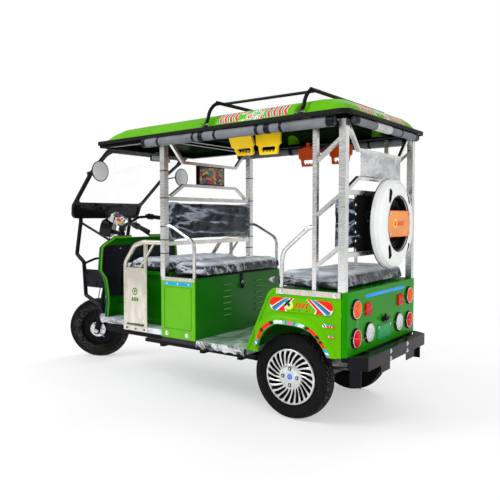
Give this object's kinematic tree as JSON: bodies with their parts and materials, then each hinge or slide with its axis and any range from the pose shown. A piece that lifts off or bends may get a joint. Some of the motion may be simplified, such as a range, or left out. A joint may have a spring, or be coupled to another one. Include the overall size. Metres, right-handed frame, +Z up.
{
  "type": "electric rickshaw",
  "caption": "Three-wheeled electric rickshaw with an open tubular cabin, green body, roof rack and spare wheel.",
  "frame": {"origin": "centre of the overall bounding box in X and Y, on the ground", "axes": "+Z up, the vehicle faces -Y, +X is the vehicle's left"},
  "size_m": [1.0874, 2.7567, 1.809],
  "materials": {
    "chassis_paint": "satin",
    "green_paint": "gloss",
    "dark_green_paint": "satin",
    "roof_green": "gloss",
    "stainless": "brushed",
    "black_tube": "gloss",
    "rexine": "satin",
    "grey_rexine": "satin",
    "trim_rubber": "matte",
    "clear_glass": "polished",
    "tyre_rubber": "matte",
    "wheel_silver": "satin",
    "lamp_plastic": "gloss",
    "handle_plastic": "gloss",
    "black_plastic": "matte",
    "board_plastic": "satin",
    "mirror_face": "polished",
    "battery_case": "matte",
    "axle_iron": "matte",
    "floor_metal": "satin",
    "white_plastic": "gloss",
    "cable_sheath": "satin",
    "label_plastic": "satin"
  },
  "bodies": {
    "chassis": {"chassis_frame": "chassis_paint", "floor_deck": "floor_metal", "driver_floor": "floor_metal", "middle_box": "green_paint", "battery_block": "battery_case", "driver_box": "dark_green_paint", "driver_cushion": "rexine", "rear_cushion": "rexine", "rear_side_panels": "green_paint", "rear_panel": "green_paint", "rear_seat_base": "green_paint", "rear_lamps": "lamp_plastic", "number_plate": "board_plastic", "rear_bumper": "black_tube", "body_posts": "stainless", "roof_frame": "black_tube", "roof_panel": "roof_green", "roof_trim": "trim_rubber", "roof_rack": "black_tube", "curtain_rolls": "grey_rexine", "grab_handles": "handle_plastic", "backrest_frames": "stainless", "backrests": "rexine", "sign_boards": "board_plastic", "grab_rails": "stainless", "door_guards": "stainless", "windshield_frame": "black_tube", "windshield_glass": "clear_glass", "windshield_apron": "black_plastic", "mirrors": "mirror_face", "front_guard": "black_tube", "leg_shield": "green_paint", "shield_pocket": "rexine", "rear_axle": "axle_iron", "leaf_springs": "axle_iron", "spare_tyre": "tyre_rubber", "spare_rim": "black_tube", "spare_cover": "white_plastic", "spare_label": "label_plastic", "sill_strips": "stainless"},
    "seat_lid": {"seat_lid": "black_tube", "middle_cushion": "rexine"},
    "steering": {"steering_fork": "chassis_paint", "front_brake": "axle_iron", "handlebar": "stainless", "hand_grips": "black_plastic", "headlamp": "black_plastic", "instrument_cluster": "black_plastic", "control_cables": "cable_sheath"},
    "front_wheel": {"front_tyre": "tyre_rubber", "front_rim": "black_tube"},
    "rear_wheel_left": {"rear_tyre_left": "tyre_rubber", "rear_rim_left": "wheel_silver", "wheel_cover_left": "wheel_silver"},
    "rear_wheel_right": {"rear_tyre_right": "tyre_rubber", "rear_rim_right": "wheel_silver", "wheel_cover_right": "wheel_silver"}
  },
  "joints": [
    {"name": "steering_turn", "type": "hinge", "parent": "chassis", "child": "steering", "pos_m": [0, -1.139, 0.2297], "axis": [0, 0.2756, 0.9613], "range_deg": [-73, 7]},
    {"name": "front_wheel_spin", "type": "hinge", "parent": "steering", "child": "front_wheel", "pos_m": [0.01906, -1.16722, 0.23779], "axis": [0.8387, 0.5235, -0.1501], "continuous": true},
    {"name": "rear_wheel_left_spin", "type": "hinge", "parent": "chassis", "child": "rear_wheel_left", "pos_m": [0.36, 0.90536, 0.24], "axis": [1, 0, 0], "continuous": true},
    {"name": "rear_wheel_right_spin", "type": "hinge", "parent": "chassis", "child": "rear_wheel_right", "pos_m": [-0.36, 0.90536, 0.24], "axis": [1, 0, 0], "continuous": true},
    {"name": "seat_lid_hinge", "type": "hinge", "parent": "chassis", "child": "seat_lid", "pos_m": [0, 0.02036, 0.7592], "axis": [1, 0, 0], "range_deg": [0, 50]}
  ]
}
